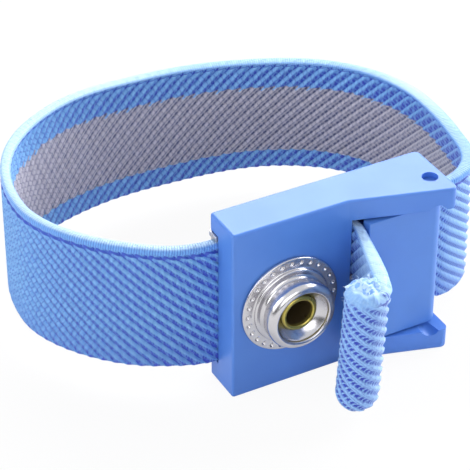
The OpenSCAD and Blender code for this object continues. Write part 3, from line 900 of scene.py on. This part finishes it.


# in both yarns lit is the painted highlight, groove the painted shade and top the painted light
blue_yarn = yarn("woven elastic", "Comb", {
    "crest": (0.105, 0.30, 0.68, 1),
    "lit": (0.22, 0.49, 0.83, 1),
    "groove": (0.026, 0.058, 0.47, 1),
    "welt": (0.15, 0.38, 0.82, 1),
    "top": (0.46, 0.68, 0.93, 1),
    "pale": (0.27, 0.48, 0.85, 1)}, 0.15)
grey_yarn = yarn("conductive yarn", "Line", {
    "crest": (0.40, 0.385, 0.46, 1),
    "lit": (0.54, 0.52, 0.60, 1),
    "groove": (0.085, 0.10, 0.22, 1),
    "welt": (0.42, 0.42, 0.5, 1),
    "top": (0.5, 0.5, 0.56, 1),
    "pale": (0.5, 0.5, 0.56, 1)}, 0.6)
moulded = plastic("moulded plastic", (0.079, 0.222, 0.66, 1), (0.073, 0.208, 0.64, 1))
lever_blue = plastic("lever plastic", (0.078, 0.220, 0.63, 1), (0.073, 0.208, 0.61, 1))
nickel = metal("bright nickel", (0.62, 0.61, 0.635, 1), 0.18, 0.30, (600, 600, 600))
brass = brass_finish("rolled brass", (0.52, 0.43, 0.11, 1), (0.05, 0.035, 0.015, 1))
steel = metal("brushed stainless", (0.50, 0.50, 0.52, 1), 0.28, 0.45, (200, 6000, 6000))
fuzz = loose_yarn("loose yarn", (0.66, 0.80, 0.96, 1), (0.40, 0.60, 0.92, 1), 900)
fused = loose_yarn("fused yarn", (0.50, 0.70, 0.94, 1), (0.20, 0.40, 0.84, 1), 1500)
for obj, mat, slot in ((band, blue_yarn, "woven_elastic"), (tail, blue_yarn, "woven_elastic"),
                       (core, fused, "woven_elastic"), (ends, fuzz, "woven_elastic"),
                       (stripe, grey_yarn, "conductive_yarn"), (housing, moulded, "moulded_plastic"),
                       (lever, lever_blue, "lever_plastic"), (stud, nickel, "plated_stud"),
                       (rivet, brass, "eyelet_brass"), (plate, steel, "stainless_steel")):
    obj.data.materials.clear()
    obj.data.materials.append(mat)
    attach(obj, "lever" if obj is lever else "buckle")


# ---------------------------------------------------------------- stage, lights and camera

# shares of plain white that the camera sees in place of the floor, and that mirrors see in place of it far
# away and in a shadow painted round the object
SEEN_WHITE, FAR_WHITE, SHADOW_WHITE = 0.93, 0.35, 0.35
# distances from the origin in metres between which the painted shadow ends, and the far part begins
SHADOW_END, FAR_START = (0.016, 0.026), (0.03, 0.12)


def show_through(tree, shader):
    """Lets the camera, mirrors and glass see white in place of most of the shader. Mirrors see less of it
    near the object, where a shadow is painted, and far away."""
    path = tree.nodes.new("ShaderNodeLightPath")
    seen = Wire(tree, path.outputs["Is Camera Ray"]).most(Wire(tree, path.outputs["Is Transmission Ray"]))
    away = tree.nodes.new("ShaderNodeVectorMath")
    away.operation = "LENGTH"
    tree.links.new(object_place(tree).socket, away.inputs[0])
    distance = Wire(tree, away.outputs["Value"])
    shadow = distance.step(*SHADOW_END) * (1 - SHADOW_WHITE) + SHADOW_WHITE
    level = distance.step(*FAR_START) * (FAR_WHITE - SEEN_WHITE) + SEEN_WHITE
    mirrored = Wire(tree, path.outputs["Is Glossy Ray"]) * shadow * level
    white = tree.nodes.new("ShaderNodeEmission")
    mix = tree.nodes.new("ShaderNodeMixShader")
    tree.links.new((seen * SEEN_WHITE).most(mirrored).socket, mix.inputs[0])
    tree.links.new(shader.outputs[0], mix.inputs[1])
    tree.links.new(white.outputs[0], mix.inputs[2])
    out = next(x for x in tree.nodes if x.type == "OUTPUT_MATERIAL")
    tree.links.new(mix.outputs[0], out.inputs["Surface"])


def white_floor():
    """Large pale plane just under the buckle's lower side."""
    mat, tree, shader = new_material("white floor")
    shader.inputs["Base Color"].default_value = (0.8, 0.8, 0.8, 1)
    shader.inputs["Roughness"].default_value = 0.9
    show_through(tree, shader)
    reach, z = 3000, -13.52
    corners = [[-reach, -reach, z], [reach, -reach, z], [reach, reach, z], [-reach, reach, z]]
    floor = put_mesh("floor", corners, [[0, 1, 2, 3]])
    floor.data.materials.append(mat)


def soft_light(name, place, size, radiance):
    """Rectangular softbox that faces the object. Place and size are in metres, and radiance 1 is as bright
    as a white wall."""
    data = bpy.data.lights.new(name, "AREA")
    data.shape = "RECTANGLE"
    data.size, data.size_y = size
    data.energy = radiance * math.pi * size[0] * size[1]
    obj = bpy.data.objects.new(name, data)
    bpy.context.scene.collection.objects.link(obj)
    direction = Vector((0, 0.01, 0)) - Vector(place)
    turned = direction.to_track_quat("-Z", "Y").to_matrix().to_4x4()
    obj.matrix_world = Matrix.Translation(place) @ turned


def studio_room():
    """Even light from all round. The camera sees plain white, and mirrors see a ceiling brighter than the
    walls."""
    world = bpy.data.worlds.new("studio")
    bpy.context.scene.world = world
    world.use_nodes = True
    tree = world.node_tree
    tree.nodes.clear()
    out = tree.nodes.new("ShaderNodeOutputWorld")
    room, white = tree.nodes.new("ShaderNodeBackground"), tree.nodes.new("ShaderNodeBackground")
    path = tree.nodes.new("ShaderNodeLightPath")
    height = split(tree, Wire(tree, tree.nodes.new("ShaderNodeTexCoord").outputs["Generated"]))[2]
    even, dark, rise = 0.36, 0.1, 0.85
    ceiling = height.step(0.1, 0.75) * rise + dark
    level = Wire(tree, path.outputs["Is Glossy Ray"]) * (ceiling - even) + even
    tree.links.new(level.socket, room.inputs["Strength"])
    room.inputs["Color"].default_value = (0.95, 0.97, 1.0, 1)
    white.inputs["Color"].default_value = (1, 1, 1, 1)
    white.inputs["Strength"].default_value = 1.0
    mix = tree.nodes.new("ShaderNodeMixShader")
    tree.links.new(path.outputs["Is Camera Ray"], mix.inputs[0])
    tree.links.new(room.outputs[0], mix.inputs[1])
    tree.links.new(white.outputs[0], mix.inputs[2])
    tree.links.new(mix.outputs[0], out.inputs["Surface"])


# the camera's place in metres, its azimuth, elevation and roll in radians, and its sensor and lens in mm
CAMERA_PLACE = (-0.115205, -0.193934, 0.170190)
AZIMUTH, ELEVATION, ROLL = -0.49795, 0.609926, 0.00303868
SENSOR, LENS = 36, 161.37


def add_camera():
    """Camera at its place, looking back from its azimuth and down from its elevation, rolled by a hair."""
    camera = bpy.data.objects.new("camera", bpy.data.cameras.new("camera"))
    bpy.context.scene.collection.objects.link(camera)
    level = math.cos(ELEVATION)
    back = Vector((math.sin(AZIMUTH) * level, -math.cos(AZIMUTH) * level, math.sin(ELEVATION)))
    flat = Vector((math.cos(AZIMUTH), math.sin(AZIMUTH), 0))
    steep = back.cross(flat)
    right = flat * math.cos(ROLL) + steep * math.sin(ROLL)
    up = steep * math.cos(ROLL) - flat * math.sin(ROLL)
    turned = Matrix((right, up, back)).transposed().to_4x4()
    camera.matrix_world = Matrix.Translation(CAMERA_PLACE) @ turned
    camera.data.sensor_width = SENSOR
    camera.data.lens = LENS
    camera.data.clip_start, camera.data.clip_end = 0.01, 20
    bpy.context.scene.camera = camera


white_floor()
soft_light("rear softbox", (0.27, 0.54, 0.43), (0.6, 0.4), 6.6)
soft_light("left softbox", (-0.50, 0.16, 0.30), (0.5, 0.45), 3.1)
soft_light("right softbox", (0.55, 0.05, 0.28), (0.5, 0.45), 8.0)
soft_light("front softbox", (-0.22, -0.75, 0.40), (0.7, 0.5), 2.2)
studio_room()
add_camera()
bpy.context.scene.view_settings.view_transform = "Standard"
